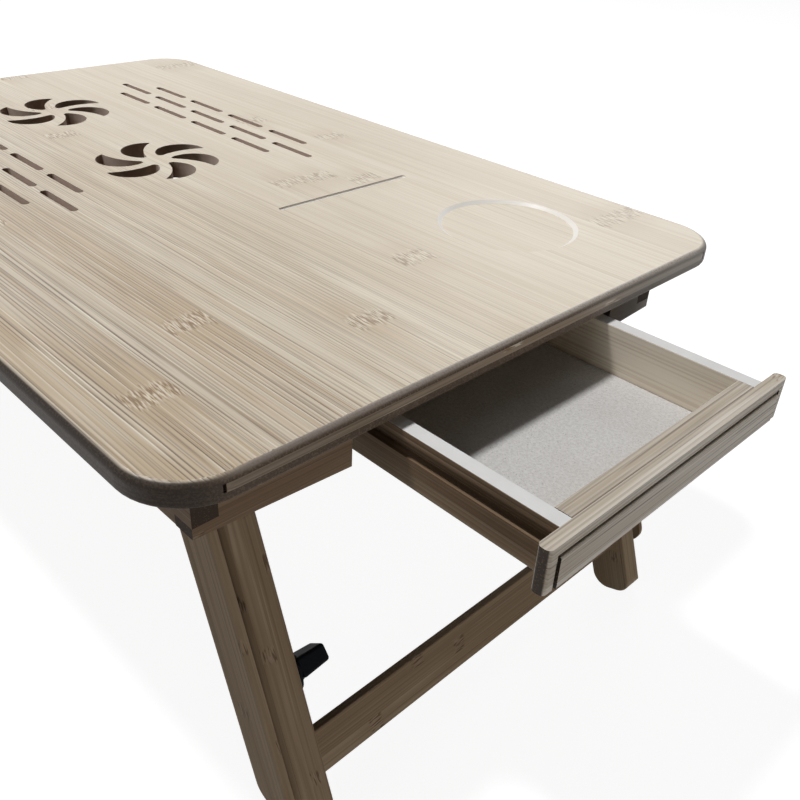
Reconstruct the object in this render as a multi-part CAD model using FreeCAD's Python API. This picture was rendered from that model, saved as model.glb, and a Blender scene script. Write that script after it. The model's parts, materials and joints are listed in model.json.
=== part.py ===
import FreeCAD, Part
import math
import os

# A bamboo bed tray that works as a laptop stand, with a shallow drawer in one
# short end and two fold-under leg frames of adjustable length.
# Millimetres. +X points out of the drawer end, +Z up, Z = 0 is the floor.
# X = 0 is the middle of the whole object, drawer pulled out, and Y = 0 is the
# middle of the board.

Vector = FreeCAD.Vector

# ---- Top board ----
board_length = 543.0
board_width = 346.0
board_thickness = 9.8
board_corner_radius = 28.5
board_top_radius = 3.2
board_bottom_radius = 1.6

# ---- Cross-grain strip let into each short edge of the board ----
spline_height = 3.4
spline_depth = 6.0
spline_top_drop = 2.3         # below the top face
spline_end_inset = 24.0       # from the board's long edge
spline_gap = 1.2              # open saw kerf at each end of the strip

# ---- Fan-shaped vents ----
fan_places = [(-154.5, 1.8), (-19.0, 1.8)]  # from the middle of the board
fan_blades = 6
blade_heel = (9.33, 5.83)                   # rounded inner end, outer corner
blade_crown = (28.98, 8.86)                 # furthest bulge of the outer curve
blade_tip = (33.3, -14.5)
blade_hollow = (22.6, -3.6)                 # middle of the inner curve
blade_toe = (9.85, 1.74)                    # rounded inner end, inner corner
blade_heel_cap = (8.5, 3.6)

# ---- Slotted vents, two groups laid like bricks ----
vent_length = 39.0
vent_width = 4.5
vent_pitch = 48.3
vent_row_pitch = 15.4
vent_rows = [4, 5, 4]
vent_group_x = -84.9
vent_group_middle_y = 2.35
vent_group_offset_y = 79.35

# ---- Tablet groove and cup recess ----
groove_width = 3.8
groove_depth = 1.3
groove_bottom_radius = 1.1
groove_length = 96.0
groove_x = 93.5
groove_start_y = 9.0
cup_diameter = 76.0
cup_depth = 1.5
cup_x = 184.5
cup_y = 93.0
cup_wall_run = 2.4            # how far the sloping wall spreads from floor to rim

# ---- Underframe ----
rail_thickness = 10.5
rail_height = 16.3
rail_end_inset = 8.4          # outer face, inside the board's short edge
near_rail_inset = 14.7        # outer face, inside the board's near edge
far_rail_inset = 57.5         # outer face, inside the board's far edge
lap_height = 11.5             # upper part of a long rail that runs to the corner
near_stile_length = 70.0      # near rail's outer face to the drawer opening
far_stile_length = 35.1
stile_slope = 0.0557          # the stiles deepen towards the drawer opening
middle_rail_thickness = 7.0
middle_rail_place = 225.0     # drawer side of it, from the board's drawer edge

# ---- Rail screws ----
rail_screw_radius = 1.75
rail_screw_head_radius = 3.5
rail_screw_head_height = 2.2
rail_screw_grip = 5.5         # depth in the board
cross_recess_share = 0.62     # of the screw head's width
cross_recess_width = 0.9
cross_recess_depth = 1.4
long_rail_screws = 4
long_rail_screw_end = 75.0    # first screw, from the rail's end
short_rail_screws = 3

# ---- Drawer ----
drawer_length = 210.0
drawer_side_height = 24.0
drawer_side_thickness = 7.0
drawer_wall_thickness = 7.5
drawer_top_gap = 3.0          # under the board
drawer_bottom_thickness = 3.0
drawer_bottom_inset = 3.0
drawer_pull = 90.3            # how far it stands open
drawer_groove_drop = 4.0
drawer_groove_height = 7.2
drawer_groove_depth = 4.5
front_thickness = 5.6
front_height = 19.4
front_side_gap = 1.85
front_end_radius = 2.2
strip_height = 13.7
strip_thickness = 3.0
strip_proud = 0.6
strip_end_inset = 6.5
strip_gap = 1.4               # shadow line round the strip
strip_edge_radius = 0.7
front_screw_radius = 1.6
front_screw_head_radius = 3.2
front_screw_head_height = 1.8
front_screw_grip = 2.8
front_screw_inset = 25.3      # from the drawer box's side
nail_radius = 0.6
nail_head_radius = 1.3
nail_head_height = 0.5
nail_length = 12.0
nails_per_side = 5
nail_end_inset = 12.0

# ---- Runners ----
runner_width = 13.55
runner_side_gap = 0.5
runner_height = 15.6
runner_tongue_reach = 3.7     # into the drawer's groove, past the side's face
runner_top_play = 0.3
runner_bottom_play = 0.5
runner_end_gap = 1.0

# ---- Leg frames ----
leg_splay = 19.7              # degrees out of the upright when open
leg_depth = 23.5
leg_rail_gap = 0.3
leg_slide_gap = 0.3
leg_stop_gap = 0.3
leg_edge_radius = 1.0
pivot_drop = 12.1             # below the board
upper_leg_thickness = 5.6
upper_leg_end = 147.0         # pivot to its lower end
upper_lip_width = 3.3
upper_rebate_depth = 8.0
upper_rebate_start = 8.5
lower_leg_thickness = 14.0
lower_leg_top = 19.0          # pivot to the centre of its rounded top
lower_leg_end = 172.0         # pivot to the end of the foot
leg_end_round = 9.0           # corners at the lower ends of both pieces
lower_leg_round = 6.0         # worked corner beside the upper leg
clamp_place = 93.6            # pivot to the clamp bolt
extend_out = 60.0             # the legs are stored at their shortest
crossbar_top = 123.5          # pivot to the bar's upper edge
crossbar_height = 21.0
crossbar_thickness = 5.0
crossbar_setback = 9.0        # behind the leg's front face
crossbar_tenon = 6.0
crossbar_edge_radius = 0.8

# ---- Leg hardware ----
pivot_radius = 3.0
pivot_bore_clearance = 0.05
pivot_head_radius = 5.5
pivot_head_height = 2.4
pivot_head_gap = 0.3
pivot_grip = 8.0              # depth in the rail
pivot_socket_width = 3.0      # across the flats of the hexagon
pivot_socket_depth = 1.5
hexagon_sides = 6
bolt_radius = 3.0
bolt_clearance = 0.05
slot_clearance = 0.4
insert_radius = 4.5
insert_length = 4.0
insert_end_gap = 0.3
bolt_in_knob = 11.0

# ---- Clamp knob ----
knob_gap = 0.3
knob_flange_radius = 8.6
knob_flange_height = 2.2
knob_neck_radius = 7.6        # foot of the tapered stem
knob_stem_radius = 5.6
knob_stem_height = 5.6
knob_height = 18.0
knob_wing_start = 3.6         # above the flange's seat
knob_base_width = 13.0        # across the leg
knob_base_thickness = 9.0     # along the leg
knob_top_width = 10.6
knob_top_thickness = 7.6
knob_corner_radius = 1.5
knob_turn = 20.0              # degrees the wing stands off square when clamped

overshoot = 1.0               # how far a cut runs past the face it opens
rail_edge_radius = 0.5        # sanded long edges of the rails
drawer_edge_radius = 0.5      # sanded upper edges of the drawer box
same_plane = 0.01             # nearer than this counts as lying in a plane
long_edge_share = 0.9         # of a bar's length that makes an edge a long one

# ---- Places worked out from the sizes ----
splay = math.radians(leg_splay)
leg_down = Vector(math.sin(splay), 0, -math.cos(splay))
leg_front = Vector(math.cos(splay), 0, math.sin(splay))

stile_inner_inset = rail_end_inset + rail_thickness
near_rail_outer = near_rail_inset - board_width / 2
far_rail_outer = board_width / 2 - far_rail_inset
frame_middle_y = (near_rail_outer + far_rail_outer) / 2
near_rail_inner = near_rail_outer + rail_thickness
far_rail_inner = far_rail_outer - rail_thickness
upper_leg_y = near_rail_inner + leg_rail_gap
upper_leg_inner_y = upper_leg_y + upper_leg_thickness
lower_leg_y = upper_leg_inner_y + leg_slide_gap
lower_leg_inner_y = lower_leg_y + lower_leg_thickness

# The open legs lean on the lower inner edges of the stiles and of the rear rail.
stop_drop = rail_height + stile_slope * (upper_leg_inner_y - near_rail_outer)
pivot_setback = (leg_depth / 2 + leg_stop_gap + leg_front.z * (stop_drop - pivot_drop)) / leg_front.x
pivot_inset = stile_inner_inset + pivot_setback

foot_corner_drop = lower_leg_end - leg_end_round      # pivot to the middle of a rounded corner
foot_corner_forward = leg_depth / 2 - leg_end_round
leg_height = (foot_corner_drop * math.cos(splay) + foot_corner_forward * math.sin(splay)
              + leg_end_round)
board_top = board_thickness + pivot_drop + leg_height
board_under = board_top - board_thickness
rail_bottom = board_under - rail_height
rear_rail_bottom = board_under - stop_drop
lap_z = board_under - lap_height
pivot_z = board_under - pivot_drop

foot_reach = (foot_corner_drop * math.sin(splay) + foot_corner_forward * math.cos(splay)
              + leg_end_round - pivot_inset)
drawer_reach = drawer_pull - rail_end_inset + strip_proud
board_x = (foot_reach - drawer_reach) / 2
drawer_edge_x = board_x + board_length / 2
rear_edge_x = board_x - board_length / 2

stile_outer_x = drawer_edge_x - rail_end_inset
stile_inner_x = stile_outer_x - rail_thickness
rear_rail_outer_x = rear_edge_x + rail_end_inset
middle_rail_x = drawer_edge_x - middle_rail_place
notch_near = near_rail_outer + near_stile_length
notch_far = far_rail_outer - far_stile_length
notch_middle_y = (notch_near + notch_far) / 2

drawer_top = board_under - drawer_top_gap
drawer_floor = drawer_top - drawer_side_height
drawer_near = notch_near + runner_width + runner_side_gap
drawer_far = notch_far - runner_width - runner_side_gap
front_outer_x = stile_outer_x + drawer_pull
box_front_x = front_outer_x - front_thickness
box_rear_x = box_front_x - drawer_length
front_bottom = drawer_top - front_height


def box(x0, x1, y0, y1, z0, z1):
    return Part.makeBox(x1 - x0, y1 - y0, z1 - z0, Vector(x0, y0, z0))


def rod(radius, start, direction, length):
    return Part.makeCylinder(radius, length, start, direction)


def prism(points, direction):
    wire = Part.makePolygon([Vector(*point) for point in points + points[:1]])
    return Part.Face(wire).extrude(direction)


def edges_where(shape, test):
    return [edge for edge in shape.Edges if test(edge.BoundBox)]


def upright_edges(shape):
    return edges_where(shape, lambda b: b.ZLength > max(b.XLength, b.YLength))


def long_edges_rounded(blank, radius):
    """Sands the edges of a straight bar that run along its length."""
    size = blank.BoundBox
    least = max(size.XLength, size.YLength, size.ZLength) * long_edge_share
    return blank.makeFillet(radius, [edge for edge in blank.Edges if edge.Length > least])


def rounded_plate(length, width, z0, z1, radius, x=0.0, y=0.0):
    plate = box(x - length / 2, x + length / 2, y - width / 2, y + width / 2, z0, z1)
    return plate.makeFillet(radius, upright_edges(plate))


def slotted(centre_a, centre_b, radius, depth_direction):
    """A round-ended bar between two centres, carried along depth_direction."""
    run = (centre_b - centre_a).normalize()
    side = run.cross(depth_direction).normalize() * radius
    corners = [centre_a + side, centre_b + side, centre_b - side, centre_a - side]
    edges = [
        Part.makeLine(corners[0], corners[1]),
        Part.Arc(corners[1], centre_b + run * radius, corners[2]).toShape(),
        Part.makeLine(corners[2], corners[3]),
        Part.Arc(corners[3], centre_a - run * radius, corners[0]).toShape(),
    ]
    return Part.Face(Part.Wire(edges)).extrude(depth_direction)


def countersunk(radius, head_radius, head_height, length, start, direction):
    """A flat-head screw or nail: its head's face at start, its shank along direction."""
    head = Part.makeCone(head_radius, radius, head_height, start, direction)
    return head.fuse(rod(radius, start, direction, length)).removeSplitter()


def crossed(screw, head_radius, start, direction):
    """Cuts a cross recess into a flat screw head whose face is at start."""
    reach = head_radius * cross_recess_share
    half = cross_recess_width / 2
    arms = []
    for a, b in ((reach, half), (half, reach)):
        arm = box(-a, a, -b, b, -overshoot, cross_recess_depth)
        arm.Placement = FreeCAD.Placement(start, FreeCAD.Rotation(Vector(0, 0, 1), direction))
        arms.append(arm)
    return screw.cut(arms)


def mirror_far(shape):
    return shape.mirror(Vector(0, frame_middle_y, 0), Vector(0, 1, 0))


def mirror_rear(shape):
    return shape.mirror(Vector(board_x, 0, 0), Vector(1, 0, 0))


# ---- Board ----

def board_blank():
    z0 = board_under
    blank = rounded_plate(board_length, board_width, z0, board_top, board_corner_radius, board_x)
    rim = edges_where(blank, lambda b: b.ZMin > board_top - same_plane)
    blank = blank.makeFillet(board_top_radius, rim)
    base = edges_where(blank, lambda b: b.ZMax < z0 + same_plane)
    return blank.makeFillet(board_bottom_radius, base)


def fan_blade():
    def at(point):
        return Vector(point[0], point[1], board_under - overshoot)

    edges = [
        Part.Arc(at(blade_heel), at(blade_crown), at(blade_tip)).toShape(),
        Part.Arc(at(blade_tip), at(blade_hollow), at(blade_toe)).toShape(),
        Part.Arc(at(blade_toe), at(blade_heel_cap), at(blade_heel)).toShape(),
    ]
    return Part.Face(Part.Wire(edges)).extrude(Vector(0, 0, board_thickness + 2 * overshoot))


def fan_cuts():
    cuts = []
    for x, y in fan_places:
        for number in range(fan_blades):
            blade = fan_blade()
            blade.rotate(Vector(), Vector(0, 0, 1), 360.0 / fan_blades * number)
            blade.translate(Vector(board_x + x, y, 0))
            cuts.append(blade)
    return cuts


def vent_cuts():
    cuts = []
    half_run = Vector((vent_length - vent_width) / 2, 0, 0)
    through = Vector(0, 0, board_thickness + 2 * overshoot)
    for side in (-1, 1):
        group_y = vent_group_middle_y + side * vent_group_offset_y
        for row, count in enumerate(vent_rows):
            y = group_y + (row - (len(vent_rows) - 1) / 2) * vent_row_pitch
            for number in range(count):
                x = board_x + vent_group_x + (number - (count - 1) / 2) * vent_pitch
                middle = Vector(x, y, board_under - overshoot)
                cuts.append(slotted(middle - half_run, middle + half_run, vent_width / 2, through))
    return cuts


def groove_cut():
    z0 = board_top - groove_depth
    start = Vector(board_x + groove_x, groove_start_y + groove_width / 2, z0)
    end = start + Vector(0, groove_length - groove_width, 0)
    cutter = slotted(start, end, groove_width / 2, Vector(0, 0, groove_depth + overshoot))
    bottom = edges_where(cutter, lambda b: b.ZMax < z0 + groove_depth / 2)
    return cutter.makeFillet(groove_bottom_radius, bottom)


def cup_cut():
    """A dish with a flat floor and a sloping wall that runs out over the top face."""
    slope = cup_wall_run / cup_depth
    top_radius = cup_diameter / 2 + slope * overshoot
    floor_radius = cup_diameter / 2 - cup_wall_run
    floor = Vector(board_x + cup_x, cup_y, board_top - cup_depth)
    return Part.makeCone(floor_radius, top_radius, cup_depth + overshoot, floor, Vector(0, 0, 1))


def spline_slot(gap):
    half = board_width / 2 - spline_end_inset + gap
    z1 = board_top - spline_top_drop
    return box(drawer_edge_x - spline_depth, drawer_edge_x + overshoot, -half, half,
               z1 - spline_height, z1)


def make_board():
    blank = board_blank()
    spline = blank.common(spline_slot(0))
    slots = [spline_slot(spline_gap), mirror_rear(spline_slot(spline_gap))]
    cuts = fan_cuts() + vent_cuts() + [groove_cut(), cup_cut()] + slots + rail_screws()
    return {
        "top_board": blank.cut(cuts),
        "drawer_end_spline": spline,
        "rear_end_spline": mirror_rear(spline),
    }


# ---- Underframe ----

def rail_screw(x, y, rail_base):
    """A screw driven up from the underside of a rail into the board."""
    length = board_under - rail_base + rail_screw_grip
    return countersunk(rail_screw_radius, rail_screw_head_radius, rail_screw_head_height,
                       length, Vector(x, y, rail_base), Vector(0, 0, 1))


def crossed_rail_screws():
    return [crossed(screw, rail_screw_head_radius, Vector(x, y, z), Vector(0, 0, 1))
            for screw, (x, y, z) in zip(rail_screws(), rail_screw_places())]


def rail_screw_places():
    places = []
    first = rear_rail_outer_x + long_rail_screw_end
    span = stile_outer_x - long_rail_screw_end - first
    for number in range(long_rail_screws):
        x = first + span * number / (long_rail_screws - 1)
        for y in (near_rail_outer + rail_thickness / 2, far_rail_outer - rail_thickness / 2):
            places.append((x, y, rail_bottom))
    for number in range(short_rail_screws):
        share = (number + 1) / (short_rail_screws + 1)
        y = near_rail_inner + (far_rail_inner - near_rail_inner) * share
        places.append((rear_rail_outer_x + rail_thickness / 2, y, rear_rail_bottom))
    return places


def rail_screws():
    return [rail_screw(*place) for place in rail_screw_places()]


def near_pivot():
    return Vector(drawer_edge_x - pivot_inset, near_rail_inner, pivot_z)


def pivot_screw():
    """Shank in the rail and through the upper leg, with a low round head on its inner face."""
    start = near_pivot() - Vector(0, pivot_grip, 0)
    seat = leg_rail_gap + upper_leg_thickness + pivot_head_gap
    shank = rod(pivot_radius, start, Vector(0, 1, 0), pivot_grip + seat)
    head_start = near_pivot() + Vector(0, seat, 0)
    head = rod(pivot_head_radius, head_start, Vector(0, 1, 0), pivot_head_height)
    socket_start = head_start + Vector(0, pivot_head_height - pivot_socket_depth, 0)
    corner = pivot_socket_width / 2 / math.cos(math.pi / hexagon_sides)
    corners = []
    for number in range(hexagon_sides):
        turn = 2 * math.pi * number / hexagon_sides
        corners.append(socket_start + Vector(corner * math.cos(turn), 0, corner * math.sin(turn)))
    hexagon = Part.Face(Part.makePolygon(corners + corners[:1]))
    socket = hexagon.extrude(Vector(0, pivot_socket_depth + overshoot, 0))
    return shank.fuse(head).removeSplitter().cut(socket)


def pivot_screws():
    screw = pivot_screw()
    pair = [screw, mirror_rear(screw)]
    return pair + [mirror_far(one) for one in pair]


def corner_lap(z0, z1):
    """The half of the near drawer-end corner between two heights."""
    return box(stile_inner_x, stile_outer_x, near_rail_outer, near_rail_inner, z0, z1)


def short_rail(outline):
    """A rail across the drawer end, with a tongue under the lap at each corner it meets."""
    blank = prism([(stile_inner_x, y, z) for y, z in outline], Vector(rail_thickness, 0, 0))
    blank = long_edges_rounded(blank, rail_edge_radius)
    lap = corner_lap(lap_z, board_under)
    return blank.cut([lap, mirror_far(lap)])


def stile(outer, edge):
    """A short rail from a corner to the drawer opening, deeper towards the opening."""
    deepest = rail_bottom - stile_slope * abs(edge - outer)
    return short_rail([(outer, rail_bottom), (edge, deepest), (edge, board_under),
                       (outer, board_under)])


def make_underframe():
    near = box(rear_rail_outer_x, stile_outer_x, near_rail_outer, near_rail_inner,
               rail_bottom, board_under)
    near = long_edges_rounded(near, rail_edge_radius)
    lap = corner_lap(rail_bottom, lap_z)
    near = near.cut([lap, mirror_rear(lap)])
    rear = short_rail([(near_rail_outer, rear_rail_bottom), (far_rail_outer, rear_rail_bottom),
                       (far_rail_outer, board_under), (near_rail_outer, board_under)])
    middle = box(middle_rail_x - middle_rail_thickness, middle_rail_x,
                 near_rail_inner, far_rail_inner, rail_bottom, board_under)
    middle = long_edges_rounded(middle, rail_edge_radius)
    screws = rail_screws()
    pivots = pivot_screws()
    return {
        "near_long_rail": near.cut(screws + pivots),
        "far_long_rail": mirror_far(near).cut(screws + pivots),
        "near_stile": stile(near_rail_outer, notch_near),
        "far_stile": stile(far_rail_outer, notch_far),
        "rear_rail": mirror_rear(rear).cut(screws),
        "middle_rail": middle,
        "rail_screws": Part.makeCompound(crossed_rail_screws()),
        "pivot_screws": Part.makeCompound(pivots),
    }


def make_runners():
    side_face = drawer_near - runner_side_gap
    x0 = middle_rail_x
    x1 = stile_inner_x
    body = box(x0, x1, notch_near, side_face, board_under - runner_height, board_under)
    groove_top = drawer_top - drawer_groove_drop
    tongue_top = groove_top - runner_top_play
    tongue_bottom = groove_top - drawer_groove_height + runner_bottom_play
    tongue = box(x0 + runner_end_gap, x1 - runner_end_gap, side_face,
                 drawer_near + runner_tongue_reach, tongue_bottom, tongue_top)
    near = body.fuse(tongue).removeSplitter()
    far = near.mirror(Vector(0, notch_middle_y, 0), Vector(0, 1, 0))
    return {"near_runner": near, "far_runner": far}


# ---- Drawer ----

def drawer_nails():
    nails = []
    overlap = drawer_side_thickness - drawer_bottom_inset
    start_z = drawer_floor - drawer_bottom_thickness
    first = box_rear_x + nail_end_inset
    span = drawer_length - 2 * nail_end_inset
    for number in range(nails_per_side):
        x = first + span * number / (nails_per_side - 1)
        for y in (drawer_near + drawer_bottom_inset + overlap / 2,
                  drawer_far - drawer_bottom_inset - overlap / 2):
            nails.append(countersunk(nail_radius, nail_head_radius, nail_head_height,
                                     nail_length, Vector(x, y, start_z), Vector(0, 0, 1)))
    return nails


def front_screws():
    screws = []
    for y in (drawer_near + front_screw_inset, drawer_far - front_screw_inset):
        start = Vector(box_front_x - drawer_wall_thickness, y, drawer_top - front_height / 2)
        screws.append(countersunk(front_screw_radius, front_screw_head_radius,
                                  front_screw_head_height,
                                  drawer_wall_thickness + front_screw_grip,
                                  start, Vector(1, 0, 0)))
    return screws


def make_drawer_box():
    side = box(box_rear_x, box_front_x, drawer_near, drawer_near + drawer_side_thickness,
               drawer_floor, drawer_top)
    side = long_edges_rounded(side, drawer_edge_radius)
    groove_top = drawer_top - drawer_groove_drop
    side = side.cut(box(box_rear_x, box_front_x, drawer_near, drawer_near + drawer_groove_depth,
                        groove_top - drawer_groove_height, groove_top))
    far_side = side.mirror(Vector(0, notch_middle_y, 0), Vector(0, 1, 0))
    y0 = drawer_near + drawer_side_thickness
    y1 = drawer_far - drawer_side_thickness
    wall = box(box_front_x - drawer_wall_thickness, box_front_x, y0, y1, drawer_floor, drawer_top)
    wall = long_edges_rounded(wall, drawer_edge_radius)
    back = box(box_rear_x, box_rear_x + drawer_side_thickness, y0, y1, drawer_floor, drawer_top)
    back = long_edges_rounded(back, drawer_edge_radius)
    bottom = box(box_rear_x, box_front_x, drawer_near + drawer_bottom_inset,
                 drawer_far - drawer_bottom_inset,
                 drawer_floor - drawer_bottom_thickness, drawer_floor)
    nails = drawer_nails()
    screws = front_screws()
    return {
        "drawer_near_side": side.cut(nails),
        "drawer_far_side": far_side.cut(nails),
        "drawer_inner_front": wall.cut(screws),
        "drawer_back": back,
        "drawer_bottom": bottom.cut(nails),
        "drawer_nails": Part.makeCompound(nails),
        "drawer_front_screws": Part.makeCompound(screws),
    }


def make_drawer_front():
    y0 = notch_near + front_side_gap
    y1 = notch_far - front_side_gap
    panel = box(box_front_x, front_outer_x, y0, y1, front_bottom, drawer_top)
    panel = panel.makeFillet(front_end_radius, upright_edges(panel))
    strip_back = front_outer_x + strip_proud - strip_thickness
    strip_top = front_bottom + strip_height
    pocket = box(strip_back, front_outer_x + overshoot, y0 + strip_end_inset - strip_gap,
                 y1 - strip_end_inset + strip_gap, front_bottom - overshoot,
                 strip_top + strip_gap)
    strip = box(strip_back, strip_back + strip_thickness, y0 + strip_end_inset,
                y1 - strip_end_inset, front_bottom, strip_top)
    face_edges = edges_where(
        strip, lambda b: b.XLength < same_plane and b.XMin > front_outer_x and b.YLength > b.ZLength
    )
    return {
        "drawer_front": panel.cut([pocket] + front_screws()),
        "drawer_front_strip": strip.makeFillet(strip_edge_radius, face_edges),
    }


# ---- Leg frames, made at the near drawer-end corner and mirrored to the others ----

def leg_point(down, forward, y):
    """A place on the open leg: down from the pivot, forward of its middle line."""
    pivot = near_pivot()
    point = pivot + leg_down * down + leg_front * forward
    return Vector(point.x, y, point.z)


def leg_block(down0, down1, forward0, forward1, y0, y1):
    corners = [leg_point(down0, forward0, y0), leg_point(down1, forward0, y0),
               leg_point(down1, forward1, y0), leg_point(down0, forward1, y0)]
    wire = Part.makePolygon(corners + corners[:1])
    return Part.Face(wire).extrude(Vector(0, y1 - y0, 0))


def leg_bar(top, end, y, thickness):
    """One piece of a leg: round about its top, with rounded corners at its lower end."""
    half = leg_depth / 2
    corner_down = end - leg_end_round
    corner_forward = half - leg_end_round
    corner_reach = leg_end_round * math.sqrt(0.5)

    def corner(forward_sign):
        return leg_point(corner_down + corner_reach,
                         forward_sign * (corner_forward + corner_reach), y)

    front_top = leg_point(top, half, y)
    front_low = leg_point(corner_down, half, y)
    end_front = leg_point(end, corner_forward, y)
    end_back = leg_point(end, -corner_forward, y)
    back_low = leg_point(corner_down, -half, y)
    back_top = leg_point(top, -half, y)
    edges = [
        Part.makeLine(front_top, front_low),
        Part.Arc(front_low, corner(1), end_front).toShape(),
        Part.makeLine(end_front, end_back),
        Part.Arc(end_back, corner(-1), back_low).toShape(),
        Part.makeLine(back_low, back_top),
        Part.Arc(back_top, leg_point(top - half, 0, y), front_top).toShape(),
    ]
    return Part.Face(Part.Wire(edges)).extrude(Vector(0, thickness, 0))


def outline_edges(shape, y, forward_sign):
    """The long edges of a leg that lie in the plane y, on its front or its back."""
    middle = near_pivot()

    def wanted(edge):
        b = edge.BoundBox
        if b.YLength > same_plane or abs(b.YMin - y) > same_plane or edge.Length < leg_depth * 2:
            return False
        return (edge.CenterOfMass - middle).dot(leg_front) * forward_sign > 0

    return [edge for edge in shape.Edges if wanted(edge)]


def upper_leg():
    y0 = upper_leg_y
    y1 = upper_leg_inner_y
    half = leg_depth / 2
    leg = leg_bar(0, upper_leg_end, y0, upper_leg_thickness)
    leg = leg.cut(leg_block(upper_rebate_start, upper_leg_end + overshoot,
                            half - upper_rebate_depth, leg_depth, y0 + upper_lip_width, y1))
    leg = leg.makeFillet(leg_edge_radius, outline_edges(leg, y0, 1) + outline_edges(leg, y0, -1))
    bore = rod(pivot_radius + pivot_bore_clearance, leg_point(0, 0, y0 - overshoot),
               Vector(0, 1, 0), upper_leg_thickness + 2 * overshoot)
    pocket = rod(insert_radius, leg_point(clamp_place, 0, y1 - insert_length), Vector(0, 1, 0),
                 insert_length + overshoot)
    return leg.cut([bore, pocket])


def insert_nut():
    start = leg_point(clamp_place, 0, upper_leg_inner_y - insert_length)
    nut = rod(insert_radius, start, Vector(0, 1, 0), insert_length)
    return nut.cut(rod(bolt_radius + bolt_clearance, start, Vector(0, 1, 0), insert_length))


def lower_leg():
    y0 = lower_leg_y
    y1 = lower_leg_inner_y
    half = leg_depth / 2
    leg = leg_bar(lower_leg_top, lower_leg_end, y0, lower_leg_thickness)
    leg = leg.makeFillet(leg_edge_radius, outline_edges(leg, y1, 1))
    bar = leg_block(lower_leg_top - leg_depth, lower_leg_end + overshoot, -half, half, y0, y1)
    leg = leg.common(bar.makeFillet(lower_leg_round, outline_edges(bar, y0, 1)))
    slot_radius = bolt_radius + slot_clearance
    slot = slotted(leg_point(clamp_place - extend_out, 0, y0 - overshoot),
                   leg_point(clamp_place, 0, y0 - overshoot),
                   slot_radius, Vector(0, lower_leg_thickness + 2 * overshoot, 0))
    return leg.cut([slot, crossbar()])


def crossbar():
    front = leg_depth / 2 - crossbar_setback
    y0 = lower_leg_inner_y - crossbar_tenon
    y1 = 2 * frame_middle_y - y0
    bar = leg_block(crossbar_top, crossbar_top + crossbar_height,
                    front - crossbar_thickness, front, y0, y1)
    long_edges = edges_where(bar, lambda b: b.YLength > leg_depth)
    return bar.makeFillet(crossbar_edge_radius, long_edges)


def clamp_bolt():
    y0 = upper_leg_inner_y - insert_length + insert_end_gap
    y1 = lower_leg_inner_y + knob_gap + bolt_in_knob
    return rod(bolt_radius, leg_point(clamp_place, 0, y0), Vector(0, 1, 0), y1 - y0)


def knob_section(width, thickness, y):
    corners = []
    for down, forward in ((-1, -1), (1, -1), (1, 1), (-1, 1)):
        corners.append(leg_point(clamp_place + down * thickness / 2, forward * width / 2, y))
    return Part.makePolygon(corners + corners[:1])


def clamp_knob():
    """A flat wing on a round stem and flange."""
    y0 = lower_leg_inner_y + knob_gap
    base = leg_point(clamp_place, 0, y0)
    along = Vector(0, 1, 0)
    flange = rod(knob_flange_radius, base, along, knob_flange_height)
    stem = Part.makeCone(knob_neck_radius, knob_stem_radius, knob_stem_height, base, along)
    wing = Part.makeLoft([
        knob_section(knob_base_width, knob_base_thickness, y0 + knob_wing_start),
        knob_section(knob_top_width, knob_top_thickness, y0 + knob_height),
    ], True)
    wing = wing.makeFillet(knob_corner_radius, wing.Edges)
    wing.rotate(base, along, -knob_turn)
    return flange.fuse([stem, wing]).cut(clamp_bolt())


def make_leg_frame(name, turn):
    """Both legs, crossbar and clamps of one end; turn puts them at that end."""
    near = {
        "upper_leg": upper_leg(),
        "lower_leg": lower_leg(),
        "knob": clamp_knob(),
        "clamp_bolt": clamp_bolt(),
    }
    nodes = {}
    for piece, shape in near.items():
        nodes[name + "_near_" + piece] = turn(shape)
        nodes[name + "_far_" + piece] = turn(mirror_far(shape))
    nut = insert_nut()
    nodes[name + "_insert_nuts"] = Part.makeCompound([turn(nut), turn(mirror_far(nut))])
    nodes[name + "_crossbar"] = turn(crossbar())
    return nodes


def same_place(shape):
    return shape.copy()


def main():
    nodes = {}
    nodes.update(make_board())
    nodes.update(make_underframe())
    nodes.update(make_runners())
    nodes.update(make_drawer_box())
    nodes.update(make_drawer_front())
    nodes.update(make_leg_frame("front", same_place))
    nodes.update(make_leg_frame("rear", mirror_rear))
    os.makedirs("parts", exist_ok=True)
    for name, shape in nodes.items():
        shape.exportStep(os.path.join("parts", name + ".step"))
        solids = len(shape.Solids)
        print(name, "solids", solids, "valid", shape.isValid(), "volume", round(shape.Volume, 1))


main()
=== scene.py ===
import json

import bpy
from mathutils import Matrix, Vector


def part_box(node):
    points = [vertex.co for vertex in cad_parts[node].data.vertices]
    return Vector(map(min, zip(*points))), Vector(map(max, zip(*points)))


# Bamboo bed tray with a drawer: finishes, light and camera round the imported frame.
# Metres. +X points out of the drawer end, +Y to the far long edge, +Z up.
# In the dictionaries most pairs of numbers say where something starts and where it is whole,
# and a noise is given as its cells a metre, detail and roughness.

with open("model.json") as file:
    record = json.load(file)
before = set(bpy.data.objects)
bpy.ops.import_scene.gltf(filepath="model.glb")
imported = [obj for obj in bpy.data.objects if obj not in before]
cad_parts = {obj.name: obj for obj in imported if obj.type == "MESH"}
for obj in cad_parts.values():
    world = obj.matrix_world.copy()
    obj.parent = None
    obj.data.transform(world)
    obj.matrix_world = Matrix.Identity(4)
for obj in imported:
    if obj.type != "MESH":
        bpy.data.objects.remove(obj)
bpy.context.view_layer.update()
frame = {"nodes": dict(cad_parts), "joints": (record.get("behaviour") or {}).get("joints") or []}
print("frame loaded:", len(frame["nodes"]), "pieces")

alongX = (1, 0, 0)
alongY = (0, 1, 0)
alongZ = (0, 0, 1)
boardLow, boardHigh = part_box("top_board")


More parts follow.
